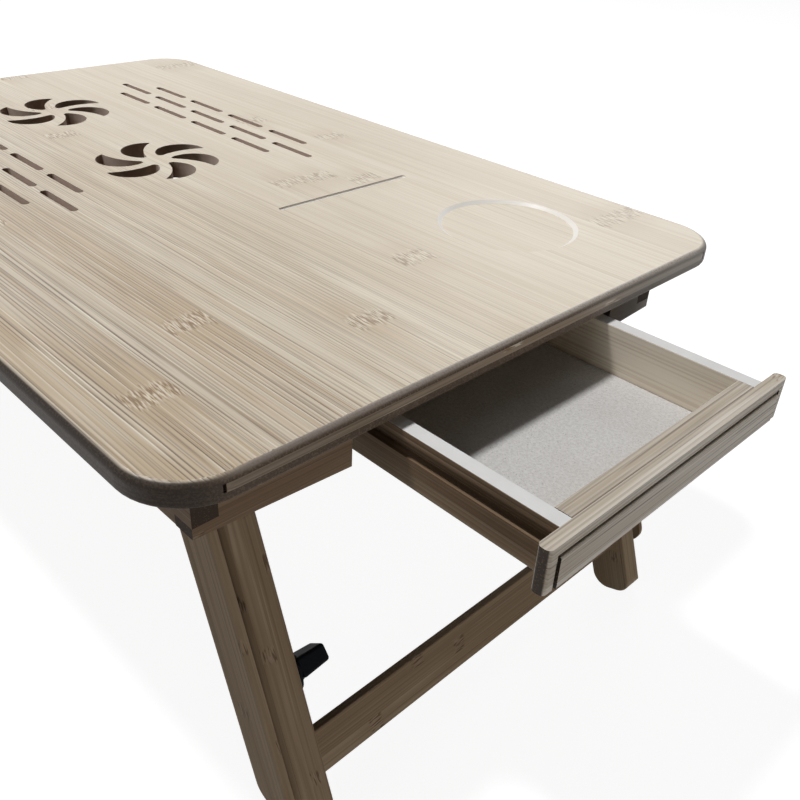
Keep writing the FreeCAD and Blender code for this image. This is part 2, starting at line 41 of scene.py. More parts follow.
class Val:
    # A value that varies over a surface. Arithmetic on a number adds Math nodes.
    def __init__(self, finish, socket):
        self.finish = finish
        self.socket = socket

    def __add__(self, other):
        return self.finish.math("ADD", self, other)

    def __sub__(self, other):
        return self.finish.math("SUBTRACT", self, other)

    def __rsub__(self, other):
        return self.finish.math("SUBTRACT", other, self)

    def __mul__(self, other):
        return self.finish.math("MULTIPLY", self, other)

    def __truediv__(self, other):
        return self.finish.math("DIVIDE", self, other)

    __radd__ = __add__
    __rmul__ = __mul__


class Finish:
    # The shader of one material, or of the sky, built node by node.
    def __init__(self, owner):
        self.owner = owner
        owner.use_nodes = True
        self.tree = owner.node_tree
        self.tree.nodes.clear()

    def node(self, kind, settings=None, sockets=None):
        made = self.tree.nodes.new(kind)
        for name, value in (settings or {}).items():
            if name == "stops":
                self.setStops(made.color_ramp, value)
            else:
                setattr(made, name, value)
        for name, value in (sockets or {}).items():
            self.put(made.inputs[name], value)
        return made

    def setStops(self, ramp, stops):
        # pairs of a place and a grey, which holds up to the next place
        ramp.interpolation = "CONSTANT"
        while len(ramp.elements) < len(stops):
            ramp.elements.new(1.0)
        for number, (place, grey) in enumerate(stops):
            ramp.elements[number].position = place
            ramp.elements[number].color = (grey, grey, grey, 1)

    def put(self, socket, value):
        if isinstance(value, Val):
            self.tree.links.new(value.socket, socket)
        elif socket.type == "RGBA":
            socket.default_value = (*value, 1)
        else:
            socket.default_value = value

    def out(self, made, name=0):
        return Val(self, made.outputs[name])

    def math(self, operation, *values):
        sockets = dict(enumerate(values))
        return self.out(self.node("ShaderNodeMath", {"operation": operation}, sockets))

    def absolute(self, value):
        return self.math("ABSOLUTE", value)

    def clamp(self, value):
        return self.out(self.node("ShaderNodeClamp", None, {"Value": value}))

    def smooth(self, value, low, high):
        # 0 below low, 1 above high, an S curve between them
        ends = {"Value": value, "From Min": low, "From Max": high}
        return self.out(self.node("ShaderNodeMapRange", {"interpolation_type": "SMOOTHSTEP"}, ends))

    def dot(self, vector, direction):
        made = self.node("ShaderNodeVectorMath", {"operation": "DOT_PRODUCT"},
                         {0: vector, 1: direction})
        return self.out(made, "Value")

    def join(self, x, y, z):
        return self.out(self.node("ShaderNodeCombineXYZ", None, {"X": x, "Y": y, "Z": z}))

    def noise(self, place, scale=1, detail=2, roughness=0.5):
        sockets = {"Vector": place, "Scale": scale, "Detail": detail, "Roughness": roughness}
        return self.out(self.node("ShaderNodeTexNoise", None, sockets))

    def chance(self, number):
        # one random number, 0 to 1, for each whole number
        made = self.node("ShaderNodeTexWhiteNoise", {"noise_dimensions": "1D"}, {"W": number})
        return self.out(made, "Value")

    def mix(self, share, first, second):
        # colours; the node's sockets 0, 6 and 7 are the share and the two colours
        made = self.node("ShaderNodeMix", {"data_type": "RGBA"}, {0: share, 6: first, 7: second})
        return self.out(made, 2)

    def mixShader(self, share, first, second):
        return self.out(self.node("ShaderNodeMixShader", None, {0: share, 1: first, 2: second}))

    def place(self):
        return self.out(self.node("ShaderNodeTexCoord"), "Object")

    def facing(self, direction):
        return self.dot(self.out(self.node("ShaderNodeTexCoord"), "Normal"), direction)

    def close(self, sockets, relief, depth, strength):
        # the surface itself, with a bump up to that depth
        bump = self.node("ShaderNodeBump", None,
                         {"Height": relief, "Distance": depth, "Strength": strength})
        shader = self.node("ShaderNodeBsdfPrincipled", None, {**sockets, "Normal": self.out(bump)})
        self.node("ShaderNodeOutputMaterial", None, {"Surface": self.out(shader)})
        return self.owner


# what every bamboo piece shares
grain = {
    # noise drawn out along a strip: cells a metre along and across it, detail, roughness
    "hair": (4, 700, 2, 0.5), "streak": (4, 330, 2, 0.55), "band": (2.5, 120, 2, 0.5),
    "cloud": (5, 30, 2, 0.5), "wander": (4, 110, 1, 0.5),
    "hairFrom": (0.52, 0.64), "streakFrom": (0.46, 0.66), "bandFrom": (0.36, 0.66),
    "cloudFrom": (0.38, 0.64),
    "stripShift": 3.7,                       # how far the noise of a strip is moved, at most
    # what sets the chances apart: the strips of the next layer, tones, knuckle offsets
    "layerStep": 37, "toneStep": 1.37, "offsetStep": 2.11, "offsetSeed": 5,
    # threads: fine dark lines with pale crests between them
    "threadLean": 0.83, "threadWander": 3, "threadApart": 7.3,
    "threadEdge": (0.16, 0.48), "threadFrom": (0.36, 0.54), "faintest": 0.4, "sparsest": 0.6,
    "crestEdge": (0.60, 0.85), "crestFrom": (0.44, 0.60),
    # knuckles: a dark core with flecks, in a warm halo; cells a metre along and across
    "fray": (30, 1000), "knuckleCore": 0.5, "haloReach": 3.5, "haloDepth": 0.4,
    "fleck": (120, 1300), "fleckLean": 0.08, "markFrom": (0.50, 0.60), "markDepth": 0.9,
    "markFade": 0.6, "fleckFrom": (0.52, 0.62), "fleckDepth": 0.6,
    "seamFrom": (0.485, 0.497),
    # end grain: bundles of fibres as dots, crowded in places; cells a metre
    "bundle": (60, 1050), "dotEdge": (0.22, 0.42), "crowd": (190, 260),
    "crowdFrom": (0.35, 0.65), "sparsestDots": 0.4, "endSpread": 0.25,
    "threadRelief": -0.3, "dotRelief": 0.8, "fleckRelief": 0.25, "roughSpread": 0.12,
    "reliefDepth": 0.00012, "reliefStrength": 0.6,
}


def bambooFinish(name, look, along, across, extra=None):
    # Strips of width look["strip"] side by side along `across`, look["layer"] thick, fibres
    # along `along`. Each has its own tone and knuckles; faces across the fibres show end grain.
    f = Finish(bpy.data.materials.new(name))
    place = f.place()
    u = f.dot(place, along)
    v = f.dot(place, across)
    w = f.dot(place, tuple(Vector(along).cross(Vector(across))))

    stripPlace = (v - look["stripStart"]) / look["strip"]
    strip = f.math("FLOOR", stripPlace)
    stripAcross = f.math("FRACT", stripPlace)
    layerPlace = (w - look["layerStart"]) / look["layer"]
    # each strip of each layer has its own number, which its tone and knuckles come from
    piece = strip + f.math("FLOOR", layerPlace) * grain["layerStep"]
    toneChance = f.chance(piece * grain["toneStep"] + look["seed"])
    offsetNumber = piece * grain["offsetStep"] + look["seed"] + grain["offsetSeed"]
    offsetChance = f.chance(offsetNumber)
    shift = toneChance * grain["stripShift"]

    def drawnOut(kind):
        lengthwise, crosswise, detail, roughness = grain[kind]
        cells = f.join(u * lengthwise + shift, v * crosswise, w * crosswise)
        return f.noise(cells, 1, detail, roughness)

    hair = drawnOut("hair")
    streak = f.smooth(drawnOut("streak"), *grain["streakFrom"])
    cloud = f.smooth(drawnOut("cloud"), *grain["cloudFrom"])
    crowded = f.smooth(drawnOut("band"), *grain["bandFrom"])

    # threads come and go along the strip, and each is bolder or fainter
    threadPlace = ((v + w * grain["threadLean"]) * look["threads"]
                   + drawnOut("wander") * grain["threadWander"])
    thread = f.math("FLOOR", threadPlace)
    acrossThread = f.math("FRACT", threadPlace)
    run = f.noise(f.join(u * look["threadRun"] + shift, thread * grain["threadApart"], 0.0), 1, 1)
    bold = f.chance(thread + 0.5) * (1 - grain["faintest"]) + grain["faintest"]
    # painted sheen: towards the far edge the grain is painted plainer, its contrast lowered as a
    # sheen would lower it
    paintedSheenPlainer = f.smooth(v, *look["paintedSheenFrom"]) * look["paintedSheenPlainer"]
    dense = (crowded * (1 - grain["sparsest"]) + grain["sparsest"]) * (1 - paintedSheenPlainer)
    threads = ((1 - f.smooth(acrossThread, *grain["threadEdge"]))
               * f.smooth(run, *grain["threadFrom"]) * bold * dense)
    crests = (f.smooth(acrossThread, *grain["crestEdge"])
              * f.smooth(1 - run, *grain["crestFrom"]) * bold * dense)

    # knuckles: one on each strip every look["knuckleStep"], frayed fibre by fibre
    step, reach = look["knuckleStep"], look["knuckleHalf"]
    steps = u / step + offsetChance
    if "knuckleAt" in look:
        steps = (u - boardHigh.x + firstKnuckle(f, strip, look["knuckleAt"])) / step
    lengthwise, crosswise = grain["fray"]
    fray = f.noise(f.join(u * lengthwise, v * crosswise, w * crosswise), 1, 1)
    offset = (f.math("FRACT", steps + 0.5) - 0.5) * step + (fray - 0.5) * look["fray"]
    apart = f.absolute(offset)
    core = f.smooth(apart, reach * grain["knuckleCore"], reach)
    knuckle = (1 - core) * look["knuckleDepth"]
    halo = (1 - f.smooth(apart, reach, reach * grain["haloReach"])) * look["knuckleDepth"]
    lengthwise, crosswise = grain["fleck"]
    lean = u * grain["fleckLean"]
    fleck = f.noise(f.join(u * lengthwise, (v + lean) * crosswise, (w + lean) * crosswise), 1, 1)

    color = f.mix(toneChance, look["light"], look["mid"])
    # painted light: towards the far edge the colour is painted paler, and the knuckle halos and
    # marks fainter
    paintedLightPaler = f.smooth(v, *look["paintedLightPalerFrom"]) * look["paintedLightPaler"]
    color = f.mix(cloud * (1 - paintedSheenPlainer) * look["cloudDepth"], color, look["warm"])
    color = f.mix(streak * look["streakDepth"], color, look["warm"])
    hairs = f.smooth(hair, *grain["hairFrom"]) * look["hairDepth"] * (1 - paintedSheenPlainer)
    color = f.mix(hairs, color, look["dark"])
    color = f.mix(threads * look["threadDepth"], color, look["dark"])
    color = f.mix(crests * look["paleDepth"], color, look["pale"])
    color = f.mix(paintedLightPaler, color, look["paintedLightPalest"])
    warmth = halo * (grain["haloDepth"] - paintedLightPaler * grain["haloDepth"])
    color = f.mix(warmth, color, look["warm"])
    marks = (knuckle * f.smooth(fleck, *grain["markFrom"])
             * (grain["markDepth"] - paintedLightPaler * grain["markFade"]))
    color = f.mix(marks, color, look["mark"])
    flecks = knuckle * f.smooth(1 - fleck, *grain["fleckFrom"]) * grain["fleckDepth"]
    color = f.mix(flecks, color, look["fleck"])
    seam = f.smooth(f.absolute(stripAcross - 0.5), *grain["seamFrom"])
    color = f.mix(seam * look["seamDepth"], color, look["dark"])

    endFrom = look["endFrom"]
    endGrain = f.smooth(f.absolute(f.facing(along)), endFrom, endFrom + grain["endSpread"])
    lengthwise, crosswise = grain["bundle"]
    cells = f.join(u * lengthwise, v * crosswise, w * crosswise)
    bundles = f.node("ShaderNodeTexVoronoi", None, {"Vector": cells, "Scale": 1.0})
    dot = 1 - f.smooth(f.out(bundles, "Distance"), *grain["dotEdge"])
    crowdV, crowdW = grain["crowd"]
    crowd = f.smooth(f.noise(f.join(0.0, v * crowdV, w * crowdW)), *grain["crowdFrom"])
    dots = dot * (crowd * (1 - grain["sparsestDots"]) + grain["sparsestDots"])
    color = f.mix(endGrain, color, f.mix(dots, look["endDark"], look["endLight"]))
    # painted light: towards the far side the colour is painted paler, standing in for the light
    # that falls there
    if look["paintedFarLight"]:
        farther = f.smooth(f.dot(place, alongY), *look["paintedFarLightFrom"])
        color = f.mix(farther * look["paintedFarLight"], color, look["paintedFarLightTone"])

    relief = (threads * grain["threadRelief"] + dot * endGrain * grain["dotRelief"]
              + fleck * knuckle * grain["fleckRelief"])
    spread = grain["roughSpread"]
    made = {"Base Color": color, "Roughness": look["rough"] + hair * spread + endGrain * spread,
            "Coat Weight": look["coat"], "Coat Roughness": look["coatRough"],
            "Specular IOR Level": look["shine"]}
    if extra:
        extra(f, made)
    return f.close(made, relief, grain["reliefDepth"], grain["reliefStrength"])


def firstKnuckle(f, strip, places):
    # each strip's own place out of the list, found with a stepped ramp
    count = len(places) + 1
    stops = [(number / count, place) for number, place in enumerate(places)]
    share = (strip + boardLook["stripsBefore"] + 0.5) / count
    return f.out(f.node("ShaderNodeValToRGB", {"stops": stops}, {"Fac": share}))


paleBamboo = {
    "strip": 0.02027, "stripStart": -0.1517, "layer": 0.0049, "layerStart": boardHigh.z,
    "seed": 3.0,
    "light": (0.62, 0.54, 0.42), "mid": (0.565, 0.48, 0.37), "warm": (0.45, 0.335, 0.205),
    "pale": (0.80, 0.73, 0.61), "dark": (0.13, 0.08, 0.04), "mark": (0.20, 0.115, 0.045),
    "fleck": (0.80, 0.73, 0.60),
    "endLight": (0.12, 0.08, 0.052), "endDark": (0.035, 0.022, 0.014), "endFrom": 0.35,
    "threads": 560, "threadRun": 14,         # threads a metre, and breaks in each a metre
    "threadDepth": 1.0, "hairDepth": 0.42, "paleDepth": 0.85, "streakDepth": 0.65,
    "cloudDepth": 0.8,
    "paintedSheenFrom": (-0.08, 0.08), "paintedSheenPlainer": 0.0,
    "paintedLightPalerFrom": (-0.13, 0.05), "paintedLightPaler": 0.0, "paintedLightPalest": (0.82, 0.73, 0.575),
    "knuckleStep": 0.36, "knuckleHalf": 0.0085, "knuckleDepth": 1.0, "fray": 0.012,
    # painted light towards the far side, off unless a look turns it on
    "paintedFarLight": 0.0, "paintedFarLightFrom": (0.0, 0.17), "paintedFarLightTone": (0.50, 0.46, 0.41),
    "seamDepth": 0.12, "rough": 0.45, "coat": 0.1, "coatRough": 0.3, "shine": 0.2,
}

boardLook = {
    **paleBamboo,
    # how far each strip's knuckle lies from the drawer edge, nearest strip first
    "knuckleAt": [0.300, 0.180, 0.058, 0.250, 0.097, 0.360, 0.420, 0.0525, 0.371, 0.440,
                  0.087, 0.210, 0.208, 0.190, 0.330, 0.268, 0.056, 0.056, 0.240],
    "stripsBefore": 2,                       # strips that are numbered below zero
    "knuckleStep": 0.45,
    "paintedSheenPlainer": 0.62, "paintedLightPaler": 0.39,          # painted light and sheen: strips towards the far edge are painted plainer and paler
    "layers": (8, 1300),                     # cells a metre along the board and up it
    "pores": (1100, 2, 0.6), "poreFrom": (0.5, 0.6),
    "corner": 0.0285,                        # radius of the board's corners
    "turnFrom": (0.008, 0.034),              # where a corner passes from long side to end
    # the rim: where it starts inside the outline, and its tones
    "longRim": (0.0015, 0.0031), "endRim": (0.0004, 0.0013), "lowerFrom": (-0.98, -0.9),
    "sideTone": (0.019, 0.012, 0.008), "sideLine": (0.042, 0.029, 0.020),
    "poreShare": 0.6, "sideLineFrom": (0.44, 0.58),
    "endTone": (0.088, 0.062, 0.043), "endPore": (0.145, 0.107, 0.076),
    # painted light: the rim is painted paler towards the far side
    "farEdgePaintedLight": (0.42, 0.39, 0.355), "farEdgePaintedLightDepth": 0.85,
    # painted reflection: grey on the rounding of the ends, darker towards the near side as painted
    # shade
    "rounding": (0.0026, 0.0033), "paintedReflectionNear": (0.19, 0.16, 0.135), "wearAndReflection": (0.40, 0.36, 0.32),
    "paintedReflectionFrom": (-0.16, 0.12), "paintedReflectionPoreFrom": (0.45, 0.6), "paintedReflectionPores": 0.4,
    # cuts through the board, burnt by the cutter across the fibres; the walls along the fibres are
    # painted pale, painted light for the light that falls on them
    "cutInset": 0.012,                       # they lie this far inside the outline, or more
    "cutSlope": (0.2, 0.4), "acrossFrom": (0.55, 0.8), "soot": (260, 3), "cutRough": 0.4,
    "char": (0.30, 0.205, 0.145), "charPale": (0.45, 0.33, 0.245),
    "sideCutPaintedLight": (0.85, 0.70, 0.60), "sideCutPaintedLightDark": (0.66, 0.52, 0.43),
    # shallow recesses, which lie beyond recessFrom along the board; their sloping walls are painted
    # near white as a painted highlight
    "recessFrom": 0.045, "recessSlope": (0.93, 0.99),
    "paintedRecessHighlight": (0.95, 0.92, 0.87), "paintedRecessHighlightDepth": 0.85,
    "topCoat": 0.8, "topFrom": (0.9, 0.98), "aboveFrom": (-0.2, 0.3),
}


def boardFinish():
    look = boardLook
    centre = (boardLow + boardHigh) / 2
    half = (boardHigh - boardLow) / 2
    corner = look["corner"]

    def insideOutline(f, place):
        # how far a point lies inside the board's rounded outline, and how much it is of an end
        overX = f.absolute(f.dot(place, alongX) - centre.x) - (half.x - corner)
        overY = f.absolute(f.dot(place, alongY) - centre.y) - (half.y - corner)
        outX = f.math("MAXIMUM", overX, 0.0)
        outY = f.math("MAXIMUM", overY, 0.0)
        straight = f.math("MINIMUM", f.math("MAXIMUM", overX, overY), 0.0)
        inset = corner - straight - f.math("SQRT", outX * outX + outY * outY)
        return inset, f.smooth(overX - overY, *look["turnFrom"])

    def edgesAndCuts(f, made):
        place = f.place()
        x, y, z = (f.dot(place, direction) for direction in (alongX, alongY, alongZ))
        inset, endward = insideOutline(f, place)
        inside = f.math("GREATER_THAN", inset, look["cutInset"])
        up = f.facing(alongZ)
        slope = f.absolute(up)
        above = f.smooth(up, *look["aboveFrom"])

        # the rim is darker than the face
        cellsX, cellsZ = look["layers"]
        layers = f.noise(f.join(x * cellsX, 0.0, z * cellsZ))
        pores = f.noise(place, *look["pores"])
        speckle = layers * (1 - look["poreShare"]) + pores * look["poreShare"]
        side = f.mix(f.smooth(speckle, *look["sideLineFrom"]), look["sideTone"], look["sideLine"])
        end = f.mix(f.smooth(pores, *look["poreFrom"]), look["endTone"], look["endPore"])
        edge = f.mix(endward, side, end)
        # painted light: the rim is painted paler towards the far side
        paintedFarLight = f.smooth(y, *look["paintedFarLightFrom"]) * look["farEdgePaintedLightDepth"]
        edge = f.mix(paintedFarLight, edge, look["farEdgePaintedLight"])

        # painted reflection on the rounding of the ends: grey, darker towards the near side as
        # painted shade, with the end pores showing through
        wearAndReflection = f.mix(f.smooth(y, *look["paintedReflectionFrom"]), look["paintedReflectionNear"], look["wearAndReflection"])
        paintedReflectionPores = f.smooth(pores, *look["paintedReflectionPoreFrom"]) * look["paintedReflectionPores"]
        wearAndReflection = f.mix(paintedReflectionPores, wearAndReflection, look["endPore"])
        rounding = (1 - f.smooth(inset, *look["rounding"])) * endward * above
        color = f.mix(rounding, made["Base Color"], wearAndReflection)
        longRim = (1 - f.smooth(inset, *look["longRim"])) * (1 - endward)
        endRim = (1 - f.smooth(inset, *look["endRim"])) * endward
        lower = (1 - above) * (1 - inside) * f.smooth(up, *look["lowerFrom"])
        outside = f.clamp(longRim + endRim + lower)
        color = f.mix(outside, color, edge)

        # upright faces inside the outline are cuts, and sloping ones belong to recesses
        soot = f.noise(place, *look["soot"])
        acrossFibres = f.smooth(f.absolute(f.facing(alongX)), *look["acrossFrom"])
        # walls across the fibres take the burnt colour; walls along them are painted pale as
        # painted light
        cut = f.mix(acrossFibres, f.mix(soot, look["sideCutPaintedLight"], look["sideCutPaintedLightDark"]),
                    f.mix(soot, look["char"], look["charPale"]))
        recess = inside * above * f.math("GREATER_THAN", x, look["recessFrom"])
        burnt = (inside - recess) * (1 - f.smooth(slope, *look["cutSlope"]))
        color = f.mix(burnt, color, cut)
        # painted highlight: the sloping walls of the recesses are painted near white, standing in
        # for the light they catch
        sunk = recess * (1 - f.smooth(slope, *look["recessSlope"]))
        made["Base Color"] = f.mix(sunk * look["paintedRecessHighlightDepth"], color, look["paintedRecessHighlight"])
        made["Roughness"] = made["Roughness"] + burnt * look["cutRough"]
        lacquered = f.math("MAXIMUM", f.smooth(up, *look["topFrom"]), recess)
        made["Coat Weight"] = lacquered * (1 - outside) * look["topCoat"]

    return bambooFinish("boardBamboo", look, alongX, alongY, edgesAndCuts)


brownBamboo = {
    **paleBamboo,
    "strip": 0.0062, "stripStart": 0.0, "layer": 0.0052, "layerStart": 0.0, "seed": 11.0,
    "light": (0.30, 0.215, 0.14), "mid": (0.215, 0.148, 0.092), "warm": (0.19, 0.122, 0.072),
    "pale": (0.39, 0.30, 0.21), "dark": (0.085, 0.052, 0.032), "mark": (0.085, 0.052, 0.03),
    "fleck": (0.39, 0.30, 0.21),
    "endLight": (0.082, 0.056, 0.038), "endDark": (0.042, 0.028, 0.020), "endFrom": 0.6,
    "threads": 620, "threadDepth": 0.5, "hairDepth": 0.2, "paleDepth": 0.5,
    "knuckleStep": 0.21, "knuckleHalf": 0.0045, "knuckleDepth": 0.8,
    "fray": 0.004, "seamDepth": 0.45, "rough": 0.55, "coat": 0.0, "shine": 0.12,
}

railLook = {**brownBamboo, "seed": 51.0}
# painted light: the cross rails are painted paler towards the far side, where the far stile lies in
# shade
crossRailLook = {**brownBamboo, "seed": 61.0, "paintedFarLight": 0.85, "paintedFarLightFrom": (0.07, 0.11)}

# painted light: the spline is painted paler towards the far side
splineLook = {
    **paleBamboo, "seed": 41.0, "strip": 0.0034, "endFrom": 0.6, "paintedFarLight": 0.8,
    "light": (0.38, 0.30, 0.225), "mid": (0.30, 0.235, 0.17), "warm": (0.25, 0.185, 0.125),
    "pale": (0.46, 0.38, 0.29), "dark": (0.13, 0.09, 0.06),
}

legLook = {
    **brownBamboo, "strip": 0.0078, "threadDepth": 0.3,
    "light": (0.41, 0.305, 0.20), "mid": (0.34, 0.245, 0.155), "warm": (0.27, 0.185, 0.11),
    "pale": (0.47, 0.365, 0.255),
}

frontLook = {
    **paleBamboo, "seed": 31.0, "strip": 0.0085, "stripStart": 0.003, "paleDepth": 0.5,
    "light": (0.67, 0.61, 0.53), "mid": (0.56, 0.50, 0.42), "warm": (0.41, 0.34, 0.25),
    "pale": (0.72, 0.66, 0.58), "dark": (0.17, 0.125, 0.09),
    "endLight": (0.10, 0.068, 0.044), "endDark": (0.03, 0.019, 0.012), "endFrom": 0.6,
}
drawerWallLook = {**frontLook, "seed": 71.0}

drawerSideLook = {
    **brownBamboo, "light": (0.34, 0.26, 0.18), "mid": (0.26, 0.19, 0.125),
    # painted light: the inside of the box is painted paler, standing in for the light that falls
    # into it; its grain is cells a metre along and up, and detail
    "inner": (0.86, 0.78, 0.65), "innerDark": (0.71, 0.62, 0.50), "innerGrain": (5, 700, 3),
    "innerFrom": (0.42, 0.62), "innerInset": 0.003,
    # the near-white upper edge, mottled by a noise
    "nearWhiteTop": (0.84, 0.84, 0.84), "nearWhiteTopDarker": (0.72, 0.715, 0.70), "nearWhiteTopNoise": (90, 3),
    "nearWhiteTopDepth": 0.95, "nearWhiteTopReach": 0.001,
    "facingFrom": (0.6, 0.9),
}


def drawerSideFinish():
    # brown outside, painted paler towards the inside of the box as painted light, upper edge near
    # white
    look = drawerSideLook
    low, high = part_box("drawer_bottom")
    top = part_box("drawer_near_side")[1].z - look["nearWhiteTopReach"]
    middle = (low.y + high.y) / 2
    half = (high.y - low.y) / 2 - look["innerInset"]

    def innerAndUpperFaces(f, made):
        place = f.place()
        x, y, z = (f.dot(place, direction) for direction in (alongX, alongY, alongZ))
        sideways = f.smooth(f.absolute(f.facing(alongY)), *look["facingFrom"])
        inner = f.math("LESS_THAN", f.absolute(y - middle), half) * sideways
        cellsX, cellsZ, detail = look["innerGrain"]
        fibres = f.noise(f.join(x * cellsX, 0.0, z * cellsZ), 1, detail)
        # painted light: the faces towards the inside are painted paler, standing in for the light
        # that falls into the box
        paler = f.mix(f.smooth(fibres, *look["innerFrom"]), look["inner"], look["innerDark"])
        color = f.mix(inner, made["Base Color"], paler)
        # the upper edge is near white, mottled by a noise
        nearWhiteTopTone = f.mix(f.noise(place, *look["nearWhiteTopNoise"]), look["nearWhiteTop"], look["nearWhiteTopDarker"])
        upward = f.smooth(f.facing(alongZ), *look["facingFrom"])
        share = f.math("GREATER_THAN", z, top) * upward * look["nearWhiteTopDepth"]
        made["Base Color"] = f.mix(share, color, nearWhiteTopTone)

    return bambooFinish("drawerSideBamboo", look, alongX, alongZ, innerAndUpperFaces)


fibreboardLook = {
    "fine": (1500, 3, 0.7), "tufts": (700, 4, 0.7), "clouds": (28, 2),
    "tuftFrom": (0.38, 0.62), "hollow": (0.575, 0.56, 0.545), "tuft": (0.67, 0.66, 0.65),
    "speckFrom": (0.54, 0.68), "speckDepth": 0.5, "speck": (0.33, 0.30, 0.27),
    "pitFrom": (0.66, 0.72), "pitDepth": 0.8, "pit": (0.16, 0.12, 0.09),
    "cloudFrom": (0.4, 0.7), "cloudDepth": 0.25, "cloud": (0.50, 0.465, 0.435),
    "rough": 0.75, "roughSpread": 0.1, "shine": 0.15,
    "reliefDepth": 0.0002, "reliefStrength": 0.4,
}


def fibreboardFinish():
    look = fibreboardLook
    f = Finish(bpy.data.materials.new("fibreboard"))
    place = f.place()
    fine = f.noise(place, *look["fine"])
    tufts = f.smooth(f.noise(place, *look["tufts"]), *look["tuftFrom"])
    color = f.mix(tufts, look["hollow"], look["tuft"])
    specks = f.smooth(fine, *look["speckFrom"]) * look["speckDepth"]
    color = f.mix(specks, color, look["speck"])
    color = f.mix(f.smooth(fine, *look["pitFrom"]) * look["pitDepth"], color, look["pit"])
    clouds = f.smooth(f.noise(place, *look["clouds"]), *look["cloudFrom"])
    color = f.mix(clouds * look["cloudDepth"], color, look["cloud"])
    made = {"Base Color": color, "Roughness": look["rough"] + fine * look["roughSpread"],
            "Specular IOR Level": look["shine"]}
    return f.close(made, fine, look["reliefDepth"], look["reliefStrength"])


knobLook = {
    "grain": (2600, 3, 0.6), "smear": (120, 3),
    "black": (0.004, 0.0045, 0.0055), "wearAndReflection": (0.009, 0.010, 0.012),
    "rough": 0.42, "roughSpread": 0.18, "shine": 0.04,
    "reliefDepth": 0.0001, "reliefStrength": 0.35,
}


def knobFinish():
    look = knobLook
    f = Finish(bpy.data.materials.new("blackPlastic"))
    place = f.place()
    moulded = f.noise(place, *look["grain"])
    smear = f.noise(place, *look["smear"])
    made = {"Base Color": f.mix(smear, look["black"], look["wearAndReflection"]),
            "Roughness": look["rough"] + smear * look["roughSpread"],
            "Specular IOR Level": look["shine"]}
    return f.close(made, moulded, look["reliefDepth"], look["reliefStrength"])


steelLook = {
    "scratch": (900, 3, 0.6), "tarnish": (150, 2),
    "bright": (0.56, 0.56, 0.57), "dull": (0.40, 0.39, 0.37),
    "rough": 0.28, "roughSpread": 0.25, "reliefDepth": 0.00005, "reliefStrength": 0.3,
}
brassLook = {
    **steelLook, "scratch": (700, 2), "tarnish": (700, 2),
    "bright": (0.72, 0.52, 0.22), "dull": (0.50, 0.34, 0.13),
    "rough": 0.3, "roughSpread": 0.2,
}


def metalFinish(name, look):
    f = Finish(bpy.data.materials.new(name))
    place = f.place()
    scratch = f.noise(place, *look["scratch"])
    color = f.mix(f.noise(place, *look["tarnish"]), look["bright"], look["dull"])
    made = {"Base Color": color, "Metallic": 1.0,
            "Roughness": look["rough"] + scratch * look["roughSpread"]}
    return f.close(made, scratch, look["reliefDepth"], look["reliefStrength"])


def dress(material, *names):
    for name in names:
        slots = frame["nodes"][name].data.materials
        slots.clear()
        slots.append(material)


def dressBoardAndRails():
    dress(boardFinish(), "top_board")
    dress(bambooFinish("splineBamboo", splineLook, alongY, alongZ),
          "drawer_end_spline", "rear_end_spline")
    dress(bambooFinish("railBamboo", railLook, alongX, alongZ),
          "near_long_rail", "far_long_rail", "near_runner", "far_runner")
    dress(bambooFinish("crossRailBamboo", crossRailLook, alongY, alongZ),
          "near_stile", "far_stile", "rear_rail", "middle_rail")
    print("board and rails dressed")


def dressDrawer():
    dress(drawerSideFinish(), "drawer_near_side", "drawer_far_side")
    dress(bambooFinish("drawerWallBamboo", drawerWallLook, alongY, alongZ),
          "drawer_inner_front", "drawer_back")
    dress(bambooFinish("drawerFrontBamboo", frontLook, alongY, alongZ),
          "drawer_front", "drawer_front_strip")
    dress(fibreboardFinish(), "drawer_bottom")
    print("drawer dressed")


def legDirections(end):
    # down the open leg and forward across it, from the way its lower half slides
    slide = next(joint for joint in frame["joints"] if joint["name"] == end + "_leg_extend")
    down = Vector(slide["axis"]).normalized()
    across = Vector(alongY) if down.x > 0 else -Vector(alongY)
    return tuple(down), tuple(down.cross(across))


def dressLegs():
    knob = knobFinish()
    steel = metalFinish("zincSteel", steelLook)
    brass = metalFinish("turnedBrass", brassLook)
    dress(steel, "rail_screws", "pivot_screws", "drawer_nails", "drawer_front_screws")
    for end, seedStep in (("front", 1), ("rear", -1)):
        down, forward = legDirections(end)
        look = {**legLook, "seed": 80.0 + seedStep}
        dress(bambooFinish(end + "LegBamboo", look, down, forward),
              *[f"{end}_{side}_{piece}_leg" for side in ("near", "far")
                for piece in ("upper", "lower")])
        look = {**legLook, "seed": 90.0 + seedStep}
        dress(bambooFinish(end + "CrossbarBamboo", look, alongY, down), end + "_crossbar")
        dress(knob, *[f"{end}_{side}_knob" for side in ("near", "far")])
        dress(steel, *[f"{end}_{side}_clamp_bolt" for side in ("near", "far")])
        dress(brass, end + "_insert_nuts")
    print("legs and metal dressed")


dressBoardAndRails()
dressDrawer()
dressLegs()


room = {
    "floorSize": 30.0, "floorBounce": (0.15, 0.145, 0.14),
    "floorGlow": (0.91, 0.91, 0.91), "floorPaint": (0.30, 0.30, 0.30),   # what the camera sees
    "skySeen": 1.0, "skyLight": 0.02,
}


def seenOrBounced(f, seen, bounced):
    # what the camera and mirrors see, and what lights the object
    path = f.node("ShaderNodeLightPath")
    either = f.out(path, "Is Camera Ray")
    for name in ("Is Glossy Ray", "Is Transmission Ray"):
        either = f.math("MAXIMUM", either, f.out(path, name))
    return f.mixShader(either, bounced, seen)


